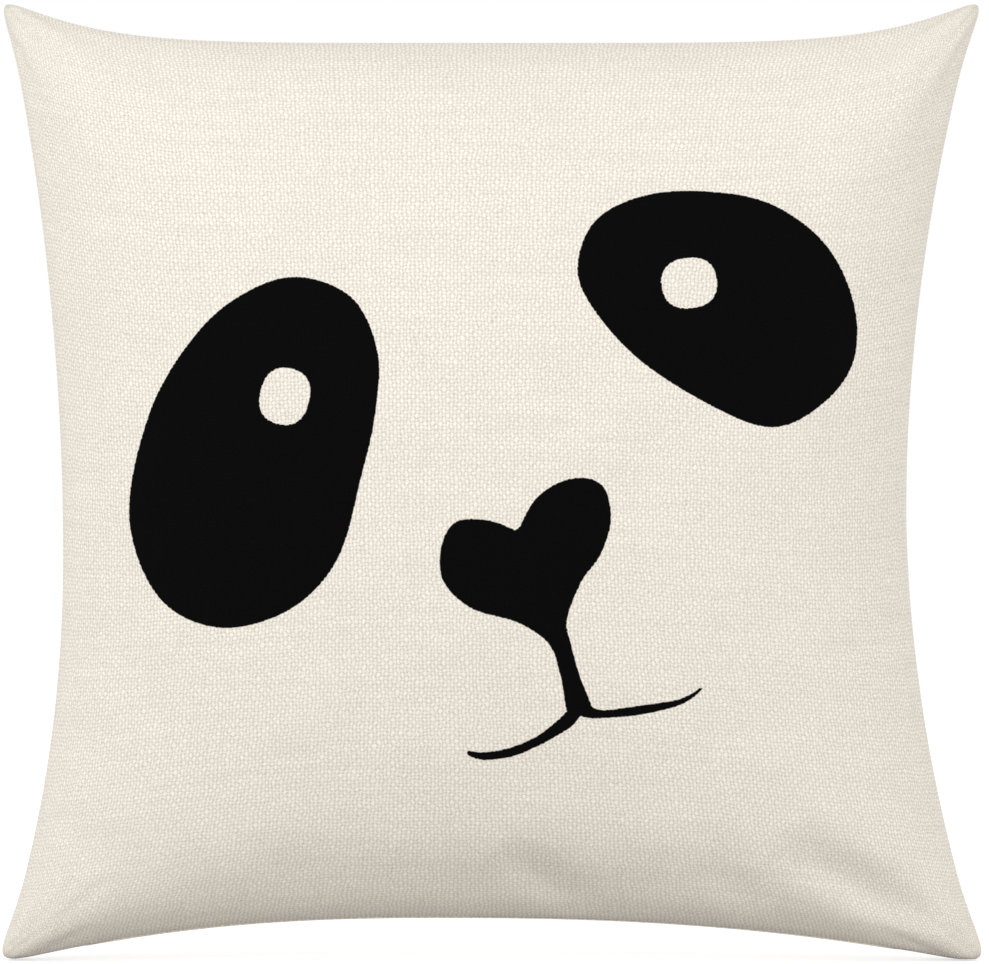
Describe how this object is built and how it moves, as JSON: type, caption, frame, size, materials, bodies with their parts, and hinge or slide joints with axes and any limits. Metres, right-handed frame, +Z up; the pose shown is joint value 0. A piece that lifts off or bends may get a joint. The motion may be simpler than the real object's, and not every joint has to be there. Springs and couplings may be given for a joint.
{
  "type": "throw cushion",
  "caption": "Square throw cushion: zipped linen-look cover with a printed panda face, sides drawn in between its corners, on a fibre-filled insert.",
  "frame": {"origin": "centre of the bounding box at floor level, under the cushion standing on its two lower corners", "axes": "+Z up, +X to the right as seen from the front, printed front facing -Y"},
  "size_m": [0.455, 0.15, 0.442],
  "materials": {
    "cover_cloth": "matte",
    "cover_cloth_back": "matte",
    "sewing_thread": "matte",
    "overlock_thread": "matte",
    "zip_tape": "matte",
    "zip_coil": "satin",
    "zip_metal": "satin",
    "casing_cloth": "matte",
    "fibre_fill": "matte"
  },
  "bodies": {
    "cushion": {"cover_front": "cover_cloth", "cover_back": "cover_cloth_back", "seam_thread": "sewing_thread", "overlock_edge": "overlock_thread", "zip_tape_front": "zip_tape", "zip_tape_back": "zip_tape", "zip_stitching": "sewing_thread", "zip_coil_front": "zip_coil", "zip_coil_back": "zip_coil", "zip_top_stops": "zip_metal", "zip_bottom_stop": "zip_metal", "insert_casing_front": "casing_cloth", "insert_casing_back": "casing_cloth", "insert_fill": "fibre_fill"},
    "slider": {"zip_slider": "zip_metal"},
    "pull": {"zip_pull": "zip_metal"}
  },
  "joints": [
    {"name": "zip_slide", "type": "slide", "parent": "cushion", "child": "slider", "axis": [1, 0, 0], "range_m": [-0.26, 0], "deforming": ["zip_coil_front", "zip_coil_back"]},
    {"name": "pull_swing", "type": "hinge", "parent": "slider", "child": "pull", "pos_m": [0.13, 0, 0.0179], "axis": [0, 1, 0], "range_deg": [-80, 80]}
  ]
}
